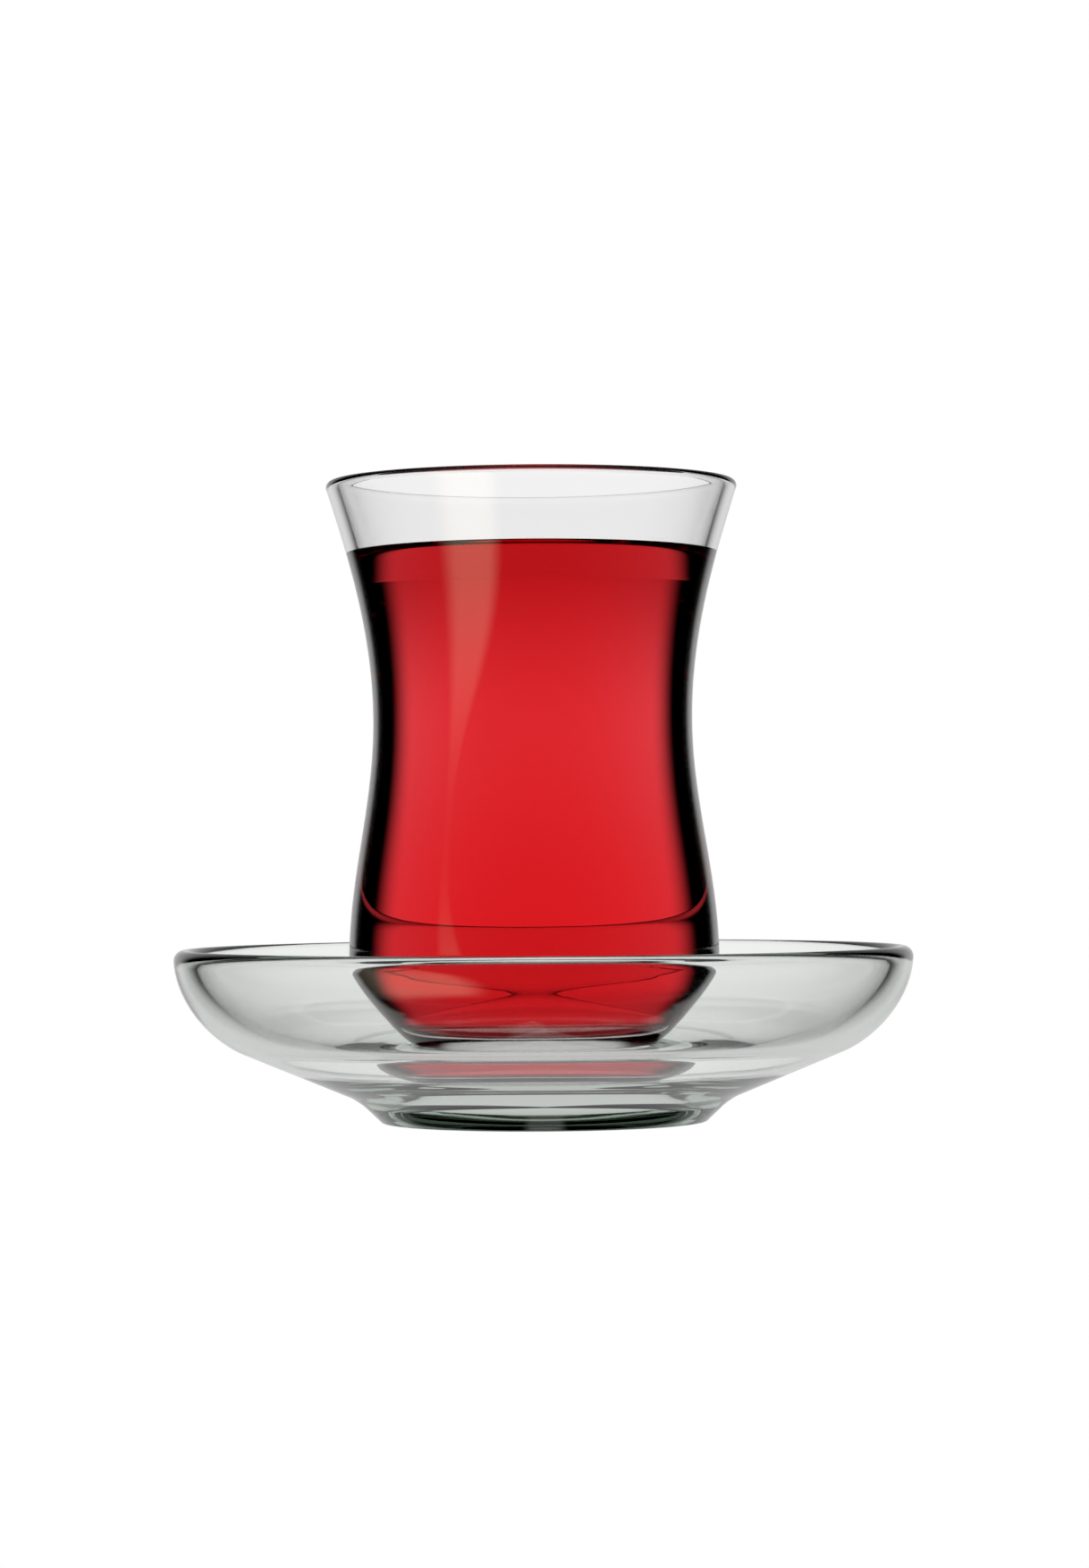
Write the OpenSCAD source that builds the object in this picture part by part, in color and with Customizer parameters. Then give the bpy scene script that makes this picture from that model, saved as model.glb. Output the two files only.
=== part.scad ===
// Tulip-shaped tea glass, filled with tea, standing on its clear glass saucer.
// Every piece is turned about an upright axis. The saucer's axis is the frame's Z axis and its foot
// stands at height 0; the glass stands a little off that axis, as a glass is set down by hand.

/* [Saucer] */
// Diameter across the rim of the saucer
saucer_d = 112.8; // [106:0.2:126]
// Height of the saucer from its foot to the top of its rim
saucer_h = 26.6; // [24:0.2:31]
// Thickness of the saucer's wall at its rim
saucer_wall = 3.2; // [2.6:0.1:3.6]
// Thickness of the saucer where it slopes out from the foot
slope_wall = 3.2; // [2.8:0.1:3.8]
// Diameter of the foot where it meets the table
foot_d = 49.6; // [48:0.2:54]
// Diameter at the top of the foot, where the underside turns outward
flare_d = 57; // [55.4:0.2:63]
// Height of the top of the foot
flare_h = 3.5; // [2.8:0.1:4.2]
// Diameter where the sloped underside starts to curve up into the wall
belly_d = 92; // [86:0.2:96]
// Height where the sloped underside starts to curve up into the wall
belly_h = 10.8; // [9.8:0.1:12]
// Height of the flat floor inside the saucer
floor_h = 7.9; // [7.4:0.1:8.6]
// Diameter of the flat floor inside the saucer
floor_d = 59.2; // [54:0.2:64]
// Diameter of the shallow seat of the glass, in the middle of the floor
seat_d = 42.2; // [41:0.2:48]
// Depth of the seat below the floor
seat_depth = 0.4; // [0.2:0.1:0.8]
// Diameter of the hollow under the foot
hollow_d = 37.8; // [32:0.2:41]
// Height of the hollow under the foot, at its edge
hollow_h = 2.1; // [1.8:0.1:3.4]
// How much higher the hollow is in its middle
hollow_dome = 0.9; // [0:0.1:1.4]
// How far the glass stands off the axis of the saucer, to the left
glass_offset = 1.4; // [0:0.1:2]

/* [Glass] */
// Diameter across the rim of the glass
rim_d = 62.8; // [54:0.2:76]
// Height of the glass from its base to its rim
glass_h = 90.5; // [78:0.2:104]
// How far the wall leans out at the rim, in millimetres for each millimetre up
rim_lean = 0.32; // [0.1:0.01:0.5]
// Diameter at the waist
waist_d = 48.8; // [40:0.2:54]
// Height of the waist above the base
waist_h = 53.9; // [46:0.2:62]
// Diameter across the bulge
bulge_d = 56.6; // [48:0.2:68]
// Height of the bulge above the base
bulge_h = 16.9; // [14:0.2:19]
// Diameter across the base
base_d = 38.8; // [34:0.2:40.6]
// Radius of the round edge of the base
base_round = 1.4; // [0.6:0.1:2.4]
// Thickness of the wall of the glass
glass_wall = 2; // [1.6:0.1:3]
// Thickness of the solid bottom of the glass
glass_bottom = 5.3; // [3.6:0.1:6.4]
// Diameter of the flat floor inside the glass
glass_floor_d = 27; // [22:0.2:30]

/* [Tea] */
// Depth of the empty glass above the tea
head_space = 11.4; // [4:0.2:30]

/* [Hidden] */
$fn = 144;
curve_steps = 16;
edge_steps = 8;
// Width of the flat ring under the foot, and radius of the round edges of the foot and of the hollow
foot_ring = 2.6;
small_edge = 0.6;
hollow_round = 1.5;
// How far each side of the crease at the top of the foot its rounding starts
flare_round = 1.6;
// How far the saucer's outline keeps to its direction at the belly and at the rim, outside and inside
belly_reach = 4.6;
rim_reach = 7;
inner_belly_reach = 3.1;
inner_rim_reach = 5.6;
slope_reach = 4.3;
floor_reach = 5;
// The same for the glass, as a share of the height or width of each stretch
bulge_reach = 0.36;
waist_reach = 0.36;
lip_reach = 0.3;
base_reach = 0.24;
side_reach = 0.3;
inner_bottom_reach = 0.165;
inner_side_reach = 0.25;
// The hollow's dome, as shares of its radius
dome_reach = 0.4;
dome_edge_reach = 0.3;
// Directions in which the outlines run, in degrees up from straight out
upright = 90;
half_turn = 180;
saucer_rim_turn = 86;
base_turn = 49.5;
slope_turn = 25;
// Directions that follow from the sizes above
foot_turn = atan2(flare_h, (flare_d - foot_d) / 2);
belly_turn = atan2(belly_h - flare_h, (belly_d - flare_d) / 2);
rim_turn = upright - atan(rim_lean);

// A step of the given length in the direction turn, counted from straight out towards straight up.
function step(turn, length) = length * [cos(turn), sin(turn)];

// The smooth curve from a to d, both ends included. It leaves a in the direction turn_a and reaches
// d in the direction turn_d; each reach says how far it keeps to that direction.
function curve(a, turn_a, reach_a, d, turn_d, reach_d) =
    let (b = a + step(turn_a, reach_a), c = d - step(turn_d, reach_d))
    [for (i = [0 : curve_steps]) let (t = i / curve_steps, s = 1 - t)
        s * s * s * a + 3 * s * s * t * b + 3 * s * t * t * c + t * t * t * d];

// Points of a round edge about its centre, from one direction to another, both ends included.
function edge(centre, r, from, to) =
    [for (i = [0 : edge_steps]) centre + step(from + (to - from) * i / edge_steps, r)];

// The outline moved inward by the given distance, its other end first.
function inside(outline, distance) =
    [for (i = [len(outline) - 1 : -1 : 0]) outline[i] - [distance, 0]];

// Half sections: each is a list of points [distance from the axis, height].

// The glass. Its wall curves out from the base to the bulge, in to the waist and out to the rim.
lip_r = glass_wall * sin(rim_turn) / 2;
lip_centre = [rim_d / 2 - lip_r, glass_h - lip_r];
wall_top = lip_centre + step(rim_turn - upright, lip_r);
bulge = [bulge_d / 2, bulge_h];
waist = [waist_d / 2, waist_h];
base_edge = [base_d / 2 - base_round, base_round];
below_waist = waist_h - bulge_h;
above_waist = glass_h - waist_h;
outer_wall = concat(
    curve(bulge, upright, below_waist * bulge_reach, waist, upright, below_waist * bulge_reach),
    curve(waist, upright, above_waist * waist_reach, wall_top, rim_turn, above_waist * lip_reach));
inner_bottom = concat([[0, glass_bottom]],
    curve([glass_floor_d / 2, glass_bottom], 0, bulge_d * inner_bottom_reach,
          bulge - [glass_wall, 0], upright, bulge_h * inner_side_reach));
glass_outline = concat(
    [[0, 0]],
    edge(base_edge, base_round, -upright, base_turn - upright),
    curve(base_edge + step(base_turn - upright, base_round), base_turn, bulge_h * base_reach,
          bulge, upright, bulge_h * side_reach),
    outer_wall,
    edge(lip_centre, lip_r, rim_turn - upright, rim_turn + upright),
    inside(outer_wall, glass_wall),
    inside(inner_bottom, 0));

// The tea fills the glass up to its level.
tea_h = glass_h - head_space;
inner_wall = concat(inner_bottom, [for (p = outer_wall) p - [glass_wall, 0]]);
tea_r = lookup(tea_h, [for (p = inner_wall) [p[1], p[0]]]);
tea_outline = concat([for (p = inner_wall) if (p[1] < tea_h) p], [[tea_r, tea_h], [0, tea_h]]);

// The saucer. Its underside rises from the foot, slopes outward and curves up into the wall; its
// inside keeps nearly the same thickness down the slope and runs out into a flat floor, with a
// shallow seat for the glass in the middle.
saucer_lip_r = saucer_wall / 2;
saucer_lip = [saucer_d / 2 - saucer_lip_r, saucer_h - saucer_lip_r];
flare = [flare_d / 2, flare_h];
belly = [belly_d / 2, belly_h];
inner_belly = belly + step(belly_turn + upright, slope_wall);
seat_h = floor_h - seat_depth;
hollow_r = hollow_d / 2;
saucer_outline = concat(
    curve([0, hollow_h + hollow_dome], 0, hollow_r * dome_reach,
          [hollow_r - hollow_round, hollow_h], 0, hollow_r * dome_edge_reach),
    edge([hollow_r - hollow_round, hollow_h - hollow_round], hollow_round, upright, 0),
    [[foot_d / 2 - foot_ring, 0]],
    edge([foot_d / 2 - small_edge * tan(foot_turn / 2), small_edge], small_edge, -upright, foot_turn - upright),
    curve(flare - step(foot_turn, flare_round), foot_turn, flare_round / 2,
          flare + step(belly_turn, flare_round), belly_turn, flare_round / 2),
    curve(belly, belly_turn, belly_reach,
          saucer_lip + step(saucer_rim_turn - upright, saucer_lip_r), saucer_rim_turn, rim_reach),
    edge(saucer_lip, saucer_lip_r, saucer_rim_turn - upright, saucer_rim_turn + upright),
    curve(saucer_lip + step(saucer_rim_turn + upright, saucer_lip_r), saucer_rim_turn + half_turn, inner_rim_reach,
          inner_belly, slope_turn + half_turn, inner_belly_reach),
    curve(inner_belly, slope_turn + half_turn, slope_reach, [floor_d / 2, floor_h], half_turn, floor_reach),
    [[seat_d / 2 + seat_depth, floor_h], [seat_d / 2, seat_h], [0, seat_h]]);

module turned(outline) rotate_extrude() polygon(outline);

module saucer() color([0.86, 0.89, 0.87, 0.4]) turned(saucer_outline);

module glass() color([0.92, 0.94, 0.93, 0.4]) translate([-glass_offset, 0, seat_h]) turned(glass_outline);

module tea() color([0.78, 0.1, 0.1]) translate([-glass_offset, 0, seat_h]) turned(tea_outline);

saucer();
glass();
tea();
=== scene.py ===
import math
import bpy
import numpy as np
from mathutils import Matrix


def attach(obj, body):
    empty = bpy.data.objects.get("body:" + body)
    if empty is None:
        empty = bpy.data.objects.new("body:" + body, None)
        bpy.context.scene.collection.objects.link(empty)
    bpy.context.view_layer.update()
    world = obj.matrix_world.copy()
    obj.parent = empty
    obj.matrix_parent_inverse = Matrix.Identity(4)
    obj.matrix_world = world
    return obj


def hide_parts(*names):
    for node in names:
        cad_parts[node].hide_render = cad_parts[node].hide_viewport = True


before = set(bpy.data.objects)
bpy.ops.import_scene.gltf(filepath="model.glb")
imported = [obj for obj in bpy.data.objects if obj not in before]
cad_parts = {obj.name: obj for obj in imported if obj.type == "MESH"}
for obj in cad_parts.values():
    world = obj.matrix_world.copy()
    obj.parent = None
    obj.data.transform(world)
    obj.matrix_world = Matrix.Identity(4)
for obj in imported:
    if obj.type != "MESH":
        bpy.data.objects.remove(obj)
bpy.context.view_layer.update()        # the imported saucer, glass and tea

mm = 0.001               # sizes below are in millimetres
scene = bpy.context.scene


# A step of the given length in the direction turn, in degrees up from straight out.
def step(turn, length):
    return length * np.array([math.cos(math.radians(turn)), math.sin(math.radians(turn))])


# Cubic curve from a to d: weights (1-t)^3, 3(1-t)^2 t, 3(1-t) t^2 and t^3 on the two ends and on
# two handles, each set off from its end by its reach along the direction of the outline there.
def curve(a, turnA, reachA, d, turnD, reachD, count=24):
    a, d = np.array(a, float), np.array(d, float)
    b, c = a + step(turnA, reachA), d - step(turnD, reachD)
    t = np.linspace(0, 1, count + 1)[:, None]
    return (1 - t) ** 3 * a + 3 * (1 - t) ** 2 * t * b + 3 * (1 - t) * t * t * c + t ** 3 * d


# Circular arc: centre + r (cos turn, sin turn), turn running evenly from one direction to another.
def roundEdge(centre, r, turnFrom, turnTo, count=12):
    turns = np.radians(np.linspace(turnFrom, turnTo, count + 1))
    return np.array(centre, float) + r * np.c_[np.cos(turns), np.sin(turns)]


# Joins stretches of an outline and leaves out points that fall on the one before.
def joined(*stretches):
    points = np.vstack(stretches)
    apart = np.linalg.norm(np.diff(points, axis=0), axis=1) > 1e-3
    return points[np.r_[True, apart]]


# Surface of revolution: the point (r, z) of the half section goes to (x0 + r cos a, r sin a, z0 + z)
# for every angle a of the turn. The section starts and ends on the axis, where one point closes it.
def turned(name, section, place=(0, 0), around=288):
    angles = np.linspace(0, 2 * math.pi, around, endpoint=False)
    ring = section[1:-1]
    grid = np.stack([ring[:, :1] * np.cos(angles), ring[:, :1] * np.sin(angles),
                     np.repeat(ring[:, 1:], around, 1)], -1).reshape(-1, 3)
    poles = [[0, 0, section[0, 1]], [0, 0, section[-1, 1]]]
    points = (np.vstack([grid, poles]) + [place[0], 0, place[1]]) * mm
    rows, turn = np.arange(len(ring) - 1)[:, None] * around, np.arange(around)
    ahead = (turn + 1) % around
    quads = np.stack([rows + turn, rows + ahead, rows + around + ahead, rows + around + turn], -1)
    last = (len(ring) - 1) * around
    first = np.c_[np.full(around, len(grid)), ahead, turn]
    final = np.c_[last + turn, last + ahead, np.full(around, len(grid) + 1)]
    mesh = bpy.data.meshes.new(name)
    mesh.from_pydata(points, [], quads.reshape(-1, 4).tolist() + first.tolist() + final.tolist())
    mesh.polygons.foreach_set("use_smooth", np.ones(len(mesh.polygons), bool))
    mesh.update()
    piece = bpy.data.objects.new(name, mesh)
    scene.collection.objects.link(piece)
    return piece


# Each face's distance from the piece's axis and its height, in mm, and how far its normal points
# outward and upward, from -1 to 1.
def faceFacts(piece, axisX=0.0):
    centres = np.empty(len(piece.data.polygons) * 3)
    normals = np.empty_like(centres)
    piece.data.polygons.foreach_get("center", centres)
    piece.data.polygons.foreach_get("normal", normals)
    centres, normals = centres.reshape(-1, 3) / mm - [axisX, 0, 0], normals.reshape(-1, 3)
    away = np.hypot(centres[:, 0], centres[:, 1])
    outward = (centres[:, 0] * normals[:, 0] + centres[:, 1] * normals[:, 1]) / np.maximum(away, 1e-6)
    return away, centres[:, 2], outward, normals[:, 2]


# Adds a node to a tree; sockets are given by name or by place, as values or as links.
def node(tree, kind, sockets=None, out=0, **settings):
    made = tree.nodes.new("ShaderNode" + kind)
    for name, value in settings.items():
        setattr(made, name, value)
    for name, value in (sockets or {}).items():
        if isinstance(value, bpy.types.NodeSocket):
            tree.links.new(value, made.inputs[name])
        else:
            made.inputs[name].default_value = value
    return made.outputs[out] if len(made.outputs) else made


def calc(tree, operation, a, b=0.0):
    return node(tree, "Math", {0: a, 1: b}, operation=operation)


# Smooth change from one value to another while v goes from low to high.
def ramp(tree, v, low, high, start, end):
    return node(tree, "MapRange", {"Value": v, "From Min": low, "From Max": high, "To Min": start,
                                   "To Max": end}, interpolation_type="SMOOTHSTEP")


# Clear material that light passes through and that tints it with depth. Slow ripples and fine
# waviness, with their heights in metres, make its surface a little uneven.
def clearMaterial(name, look, wet=False):
    material = bpy.data.materials.new(name)
    material.use_nodes = True
    tree = material.node_tree
    tree.nodes.clear()
    place = node(tree, "TexCoord", out="Object")
    sockets = {"Base Color": (1, 1, 1, 1), "Roughness": look["roughness"], "IOR": look["ior"],
               "Transmission Weight": 1.0}
    if wet:              # where liquid or glass touches it, the surface hardly reflects
        sockets["Specular Tint"] = (0, 0, 0, 1)
    slow = node(tree, "TexNoise", {"Vector": place, "Scale": look["slowScale"], "Detail": 1.0})
    fine = node(tree, "TexNoise", {"Vector": place, "Scale": look["fineScale"], "Detail": 2.0})
    bump = node(tree, "Bump", {"Height": slow, "Distance": look["slowHeight"], "Strength": 1.0})
    bump = node(tree, "Bump", {"Height": fine, "Distance": look["fineHeight"], "Strength": 1.0,
                               "Normal": bump})
    sockets["Normal"] = bump
    surface = node(tree, "BsdfPrincipled", sockets)
    volume = node(tree, "VolumeAbsorption", {"Color": look["tint"], "Density": look["density"]})
    node(tree, "OutputMaterial", {"Surface": surface, "Volume": volume})
    return material


upright, halfTurn = 90, 180     # directions, in degrees

# The saucer
saucerSizes = dict(
    across=112.8, height=26.6, wall=3.2, slopeWall=3.2, foot=49.6, flare=57.0, flareHeight=3.5,
    belly=92.0, bellyHeight=10.8, hollow=37.8, hollowHeight=2.1, hollowDome=0.9, hollowRound=1.5,
    footRing=2.6, footEdge=0.6, floorHeight=7.9, floor=59.2, seat=42.2, seatDepth=0.4, rimTurn=86,
    slopeTurn=25.0, domeReach=0.4, domeEdgeReach=0.3, flareRound=1.6, bellyReach=4.6, rimReach=7.0,
    innerRimReach=5.6, innerBellyReach=3.1, slopeReach=4.3, floorReach=5.0)
saucerLook = dict(tint=(0.80, 0.85, 0.81, 1), density=85.0, ior=1.51, roughness=0.0,
                  slowScale=45.0, slowHeight=0.00006, fineScale=260.0, fineHeight=0.000002)


# Half section from the middle of the hollow, round the foot and the rim, to the middle of the seat.
def saucerOutline(s):
    lipR = s["wall"] / 2
    lip = np.array([s["across"] / 2 - lipR, s["height"] - lipR])
    lipOut = lip + step(s["rimTurn"] - upright, lipR)
    lipIn = lip + step(s["rimTurn"] + upright, lipR)
    flare = np.array([s["flare"] / 2, s["flareHeight"]])
    belly = np.array([s["belly"] / 2, s["bellyHeight"]])
    footTurn = math.degrees(math.atan2(s["flareHeight"], (s["flare"] - s["foot"]) / 2))
    bellyTurn = math.degrees(math.atan2(belly[1] - flare[1], belly[0] - flare[0]))
    footEdge = [s["foot"] / 2 - s["footEdge"] * math.tan(math.radians(footTurn / 2)), s["footEdge"]]
    insideBelly = belly + step(bellyTurn + upright, s["slopeWall"])
    down = s["slopeTurn"] + halfTurn
    bed, seatR, hollowR, rounding = s["floorHeight"], s["seat"] / 2, s["hollow"] / 2, s["hollowRound"]
    return joined(
        curve([0, s["hollowHeight"] + s["hollowDome"]], 0, hollowR * s["domeReach"],
              [hollowR - rounding, s["hollowHeight"]], 0, hollowR * s["domeEdgeReach"]),
        roundEdge([hollowR - rounding, s["hollowHeight"] - rounding], rounding, upright, 0),
        [[s["foot"] / 2 - s["footRing"], 0]],
        roundEdge(footEdge, s["footEdge"], -upright, footTurn - upright),
        curve(flare - step(footTurn, s["flareRound"]), footTurn, s["flareRound"] / 2,
              flare + step(bellyTurn, s["flareRound"]), bellyTurn, s["flareRound"] / 2),
        curve(belly, bellyTurn, s["bellyReach"], lipOut, s["rimTurn"], s["rimReach"]),
        roundEdge(lip, lipR, s["rimTurn"] - upright, s["rimTurn"] + upright),
        curve(lipIn, s["rimTurn"] + halfTurn, s["innerRimReach"], insideBelly, down, s["innerBellyReach"]),
        curve(insideBelly, down, s["slopeReach"], [s["floor"] / 2, bed], halfTurn, s["floorReach"]),
        [[seatR + s["seatDepth"], bed], [seatR, bed - s["seatDepth"]], [0, bed - s["seatDepth"]]])


saucer = turned("Saucer", saucerOutline(saucerSizes))
saucer.data.materials.append(clearMaterial("SaucerGlass", saucerLook))
print("saucer", len(saucer.data.polygons), "faces")

# The glass: its sizes count from its own base, and its reaches are shares of each stretch
glassSizes = dict(
    rim=62.8, height=90.44, rimLean=0.32, waist=48.8, waistHeight=53.9, bulge=56.6, bulgeHeight=16.9,
    base=38.8, baseRound=1.4, baseTurn=49.5, wall=2.0, bottom=5.3, innerFloor=27.0, offset=1.4, gap=0.05,
    wallReach=0.36, lipReach=0.3, baseReach=0.24, sideReach=0.3, bottomReach=0.165, innerSideReach=0.25)
glassLook = dict(tint=(0.92, 0.95, 0.92, 1), density=6.0, ior=1.51, roughness=0.0,
                 slowScale=30.0, slowHeight=0.00002, fineScale=200.0, fineHeight=0.000001)


# The outside from the bulge up to the rim, the inside of the bottom, and the rim's round edge.
def glassWalls(g):
    rimTurn = upright - math.degrees(math.atan(g["rimLean"]))
    lipR = g["wall"] * math.sin(math.radians(rimTurn)) / 2
    lip = np.array([g["rim"] / 2 - lipR, g["height"] - lipR])
    bulge = np.array([g["bulge"] / 2, g["bulgeHeight"]])
    waist = np.array([g["waist"] / 2, g["waistHeight"]])
    innerFloor = [g["innerFloor"] / 2, g["bottom"]]
    low, high = waist[1] - bulge[1], g["height"] - waist[1]
    outer = joined(
        curve(bulge, upright, low * g["wallReach"], waist, upright, low * g["wallReach"], 48),
        curve(waist, upright, high * g["wallReach"],
              lip + step(rimTurn - upright, lipR), rimTurn, high * g["lipReach"], 48))
    bottom = joined(
        curve([0, g["bottom"]], 0, 1, innerFloor, 0, 1, 12),
        curve(innerFloor, 0, g["bulge"] * g["bottomReach"], bulge - [g["wall"], 0], upright,
              g["bulgeHeight"] * g["innerSideReach"], 48))
    return outer, bottom, lip, lipR, rimTurn


# Half section from the middle of the base, up the outside, over the rim and down the inside.
def glassOutline(g):
    outer, bottom, lip, lipR, rimTurn = glassWalls(g)
    r = g["baseRound"]
    return joined(
        [[0, 0]], roundEdge([g["base"] / 2 - r, r], r, -upright, g["baseTurn"] - upright),
        curve([g["base"] / 2 - r, r] + step(g["baseTurn"] - upright, r), g["baseTurn"],
              g["bulgeHeight"] * g["baseReach"], outer[0], upright, g["bulgeHeight"] * g["sideReach"], 36),
        outer, roundEdge(lip, lipR, rimTurn - upright, rimTurn + upright, 20),
        outer[::-1] - [g["wall"], 0], bottom[::-1])


seatHeight = saucerSizes["floorHeight"] - saucerSizes["seatDepth"]
glassPlace = (-glassSizes["offset"], seatHeight + glassSizes["gap"])
glass = turned("Glass", glassOutline(glassSizes), glassPlace)
glass.data.materials.append(clearMaterial("ClearGlass", glassLook))
glass.data.materials.append(clearMaterial("ClearGlassWet", glassLook, wet=True))

# The tea reaches a little way into the wall, and its surface climbs the wall in a small meniscus
teaSizes = dict(headSpace=11.4, intoWall=0.15, meniscus=0.9, meniscusReach=1.3, wettedShare=0.6,
                joinClearance=0.05, ringCrowding=0.4)
teaLook = dict(tint=(0.9464, 0.0, 0.0714, 1), density=84.0, ior=1.333, roughness=0.0,
               slowScale=60.0, slowHeight=0.0, fineScale=200.0, fineHeight=0.0)


# Surface height: level + m e^(-(R - r) / reach), with R the distance of the wall from the axis.
def teaOutline(g, t):
    outer, bottom, *_ = glassWalls(g)
    level = g["height"] - t["headSpace"]
    wall = joined(bottom, outer - [g["wall"], 0])
    wall[1:] += [t["intoWall"], 0]
    wall[:, 1] -= t["intoWall"]
    top = level + t["meniscus"]
    wallR = np.interp(top, wall[len(bottom):, 1], wall[len(bottom):, 0])
    r = np.linspace(1, 0, 60) ** t["ringCrowding"] * wallR
    surface = np.c_[r, level + t["meniscus"] * np.exp(-(wallR - r) / t["meniscusReach"])]
    return joined(wall[wall[:, 1] < top - t["joinClearance"]], surface)


tea = turned("Tea", teaOutline(glassSizes, teaSizes), glassPlace)
tea.data.materials.append(clearMaterial("TeaAtWall", teaLook, wet=True))
tea.data.materials.append(clearMaterial("TeaSurface", teaLook))

# Faces that liquid wets get the material that hardly reflects: the inside of the glass from its
# bottom to the meniscus, and all of the tea but its top. level is how high the wall is wetted.
wetting = dict(bottomShare=0.8, floorFacing=0.9, topFacing=0.3, topDepth=2.0)
level = glassPlace[1] + glassSizes["height"] - teaSizes["headSpace"]
level += teaSizes["meniscus"] * teaSizes["wettedShare"]
bottomBelow = glassPlace[1] + glassSizes["bottom"] * wetting["bottomShare"]
away, height, outward, up = faceFacts(glass, glassPlace[0])
wet = (height < level) & (height > bottomBelow) & ((outward < 0) | (up > wetting["floorFacing"]))
glass.data.polygons.foreach_set("material_index", wet.astype(int))
away, height, outward, up = faceFacts(tea, glassPlace[0])
top = (up > wetting["topFacing"]) & (height > level - wetting["topDepth"])
tea.data.polygons.foreach_set("material_index", top.astype(int))
print("glass and tea", len(glass.data.polygons), len(tea.data.polygons), "faces")

for piece, cadNode, slotName in ((saucer, "saucer", "saucer_glass"), (glass, "glass", "clear_glass"),
                                 (tea, "tea", "tea")):
    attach(piece, "root")
    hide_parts(cadNode)

# Studio, with angles in degrees: a bright backdrop behind the glass, dark to the sides, so that the
# edges of clear glass draw dark. Light from the ends, the front and below reaches only rays that
# shone through. After a mirroring the backdrop counts for less, by the share mirrored.
studio = dict(
    backdrop=1.0, sideStart=25, sideEnd=37, topStart=0, topEnd=32, topLevel=0.30,
    endsLevel=0.85, endsStart=9, endsEnd=18, frontLevel=0.7, frontStart=125, frontEnd=150,
    belowLevel=0.45, belowStart=-30, belowEnd=-45,
    mirrored=0.68, stripe=2.3, stripeColour=(1, 0.82, 0.6, 1), stripeLeft=64.0, stripeWidth=43.0,
    stripeLeast=4.0, stripeSides=(0.35, 0.75), stripeStart=-30, stripeEnd=24, stripeFoot=-34,
    stripeFootEnd=-44)

world = bpy.data.worlds.new("Studio")
scene.world = world
world.use_nodes = True
tree = world.node_tree
tree.nodes.clear()
x, y, z = node(tree, "SeparateXYZ", {0: node(tree, "TexCoord", out="Generated")}).node.outputs
perRadian = math.degrees(1)
turnAway = calc(tree, "MULTIPLY", calc(tree, "ABSOLUTE", calc(tree, "ARCTAN2", x, y)), perRadian)
rise = calc(tree, "MULTIPLY", calc(tree, "ARCSINE", z), perRadian)
backdrop = calc(tree, "MULTIPLY",
                ramp(tree, turnAway, studio["sideStart"], studio["sideEnd"], studio["backdrop"], 0.0),
                ramp(tree, rise, studio["topStart"], studio["topEnd"], 1.0, studio["topLevel"]))
offSide = calc(tree, "ABSOLUTE", calc(tree, "SUBTRACT", turnAway, upright))
ends = ramp(tree, offSide, studio["endsStart"], studio["endsEnd"], studio["endsLevel"], 0.0)
front = ramp(tree, turnAway, studio["frontStart"], studio["frontEnd"], 0.0, studio["frontLevel"])
rays = node(tree, "LightPath").node
below = ramp(tree, rise, studio["belowEnd"], studio["belowStart"], studio["belowLevel"], 0.0)
others = calc(tree, "MAXIMUM", calc(tree, "MAXIMUM", ends, front), below)
straight = calc(tree, "SUBTRACT", 1.0, calc(tree, "MINIMUM", rays.outputs["Glossy Depth"], 1.0))
shone = calc(tree, "MULTIPLY", straight, rays.outputs["Is Transmission Ray"])
others = calc(tree, "MULTIPLY", others, shone)
fading = calc(tree, "SUBTRACT", 1.0, calc(tree, "MULTIPLY", 1.0 - studio["mirrored"],
                                         calc(tree, "MINIMUM", rays.outputs["Glossy Depth"], 1.0)))
room = calc(tree, "MAXIMUM", calc(tree, "MULTIPLY", backdrop, fading), others)
strength = node(tree, "Mix", {0: rays.outputs["Is Camera Ray"], 2: room, 3: 1.0})
plain = node(tree, "Background", {"Color": (1, 1, 1, 1), "Strength": strength})

# Soft light at the left front, narrower towards its top: the wall of the glass mirrors it as the
# pale stripe down the tea. Only rays mirrored straight off the glass see it.
toLeft = calc(tree, "MULTIPLY", calc(tree, "ARCTAN2", calc(tree, "MULTIPLY", x, -1.0),
                                     calc(tree, "MULTIPLY", y, -1.0)), perRadian)
narrow = ramp(tree, rise, studio["stripeStart"], studio["stripeEnd"], 1.0, 0.0)
width = calc(tree, "ADD", calc(tree, "MULTIPLY", narrow, studio["stripeWidth"]), studio["stripeLeast"])
across = calc(tree, "DIVIDE", calc(tree, "SUBTRACT", studio["stripeLeft"], toLeft), width)
leftSide, rightSide = studio["stripeSides"]
stripe = calc(tree, "MULTIPLY", ramp(tree, across, 0.0, leftSide, 0.0, 1.0),
              ramp(tree, across, rightSide, 1.0, 1.0, 0.0))
direct = calc(tree, "SUBTRACT", 1.0, calc(tree, "MINIMUM", rays.outputs["Transmission Depth"], 1.0))
foot = ramp(tree, rise, studio["stripeFootEnd"], studio["stripeFoot"], 0.0, 1.0)
stripe = calc(tree, "MULTIPLY", calc(tree, "MULTIPLY", stripe, calc(tree, "MULTIPLY", narrow, foot)),
              calc(tree, "MULTIPLY", direct, rays.outputs["Is Glossy Ray"]))
stripe = node(tree, "Background", {"Color": studio["stripeColour"],
                                   "Strength": calc(tree, "MULTIPLY", stripe, studio["stripe"])})
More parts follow.
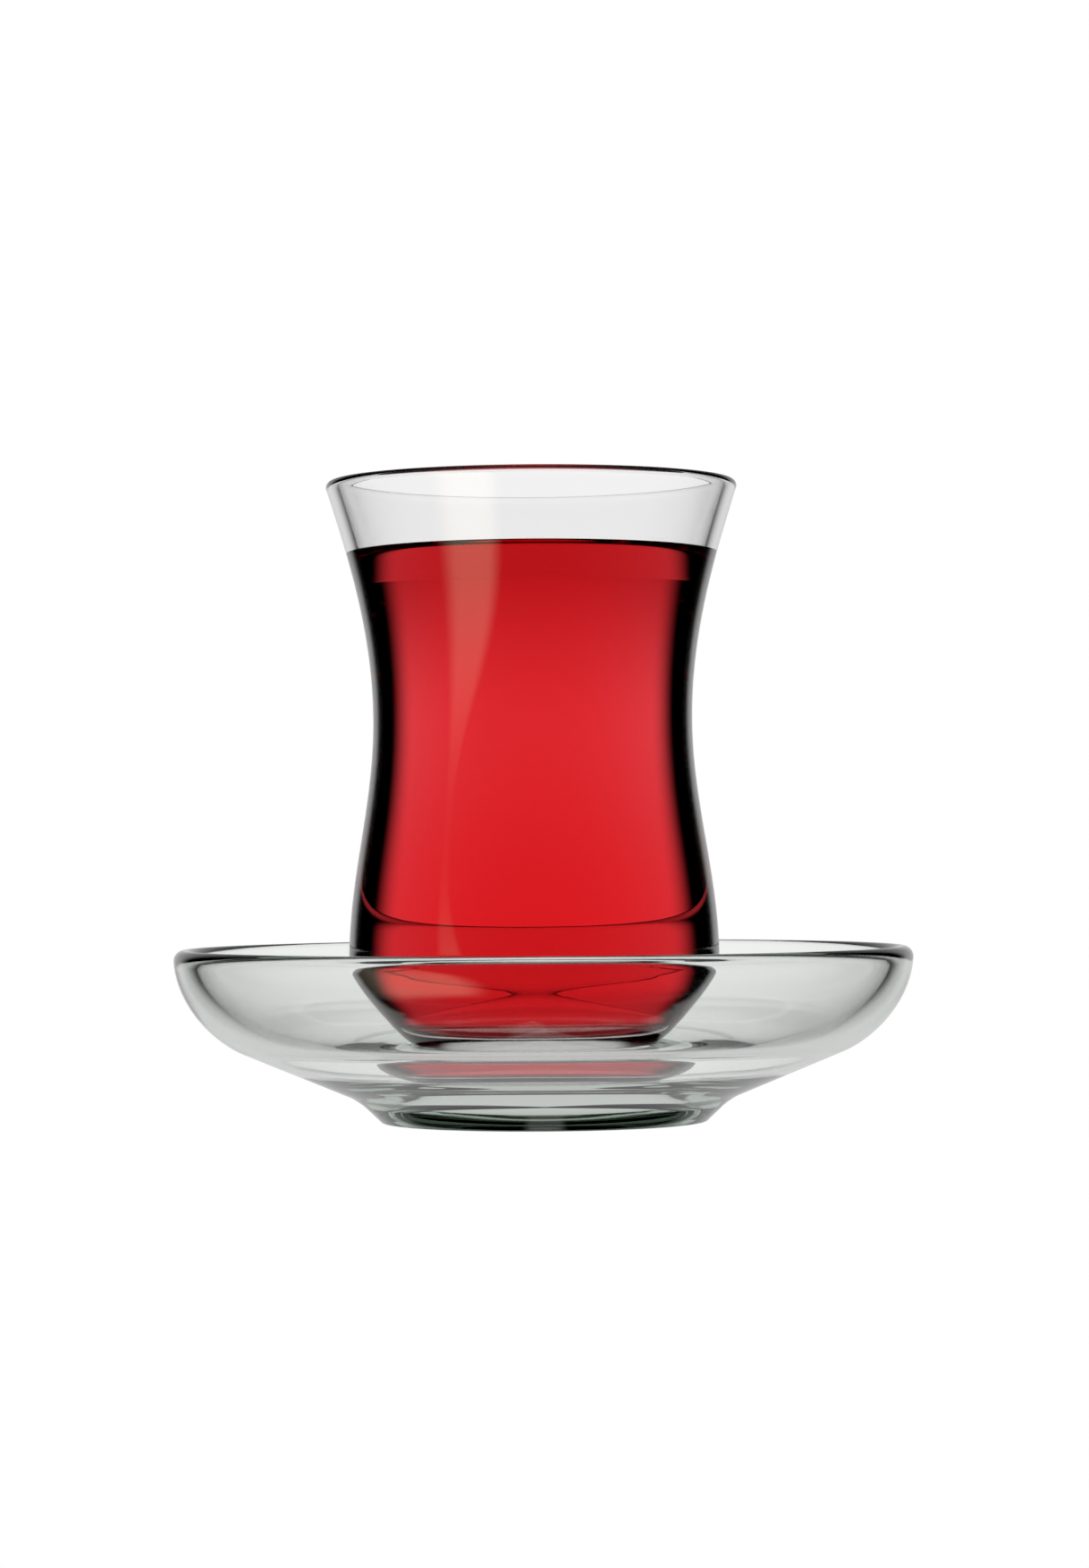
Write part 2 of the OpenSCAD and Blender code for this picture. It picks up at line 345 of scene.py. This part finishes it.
node(tree, "OutputWorld", {"Surface": node(tree, "AddShader", {0: plain, 1: stripe})})

# Pale floor, just under the foot and seen by the camera alone
floorSizes = dict(reach=6, depth=0.00005, grainScale=3.0, grain=(0.995, 1.005))
reach, depth = floorSizes["reach"], floorSizes["depth"]
mesh = bpy.data.meshes.new("Floor")
corners = [(cx * reach, cy * reach, -depth) for cx, cy in ((-1, -1), (1, -1), (1, 1), (-1, 1))]
mesh.from_pydata(corners, [], [(0, 1, 2, 3)])
floor = bpy.data.objects.new("Floor", mesh)
scene.collection.objects.link(floor)
material = bpy.data.materials.new("Floor")
material.use_nodes = True
mesh.materials.append(material)
tree = material.node_tree
tree.nodes.clear()
grain = node(tree, "TexNoise", {"Vector": node(tree, "TexCoord", out="Object"),
                                "Scale": floorSizes["grainScale"]})
strength = ramp(tree, grain, 0.0, 1.0, *floorSizes["grain"])
surface = node(tree, "Emission", {"Color": (1, 1, 1, 1), "Strength": strength})
node(tree, "OutputMaterial", {"Surface": surface})
floor.visible_glossy = floor.visible_transmission = floor.visible_diffuse = False

# Camera: level with the lower part of the glass, at the distance that the rims' ovals ask for. Its
# picture is frameHeight tall at the glass, with the foot groundBelow its middle, in millimetres.
shot = dict(distance=680.0, eye=42.5, aside=0.27, frameHeight=239.9472, groundBelow=51.5736, roll=0.4,
            sensor=36)
camera = bpy.data.objects.new("Camera", bpy.data.cameras.new("Camera"))
scene.collection.objects.link(camera)
camera.data.sensor_width = shot["sensor"]
camera.data.lens = shot["sensor"] * shot["distance"] / shot["frameHeight"]
tilt = math.atan2(shot["groundBelow"] - shot["eye"], shot["distance"])
camera.location = (shot["aside"] * mm, -shot["distance"] * mm, shot["eye"] * mm)
camera.rotation_euler = (math.pi / 2 + tilt, math.radians(shot["roll"]), 0)
camera.data.clip_start, camera.data.clip_end = 0.01, 50
scene.camera = camera
scene.view_settings.view_transform = "Standard"
scene.cycles.max_bounces = scene.cycles.transmission_bounces = 32
scene.cycles.glossy_bounces = 12
print("studio and camera ready")
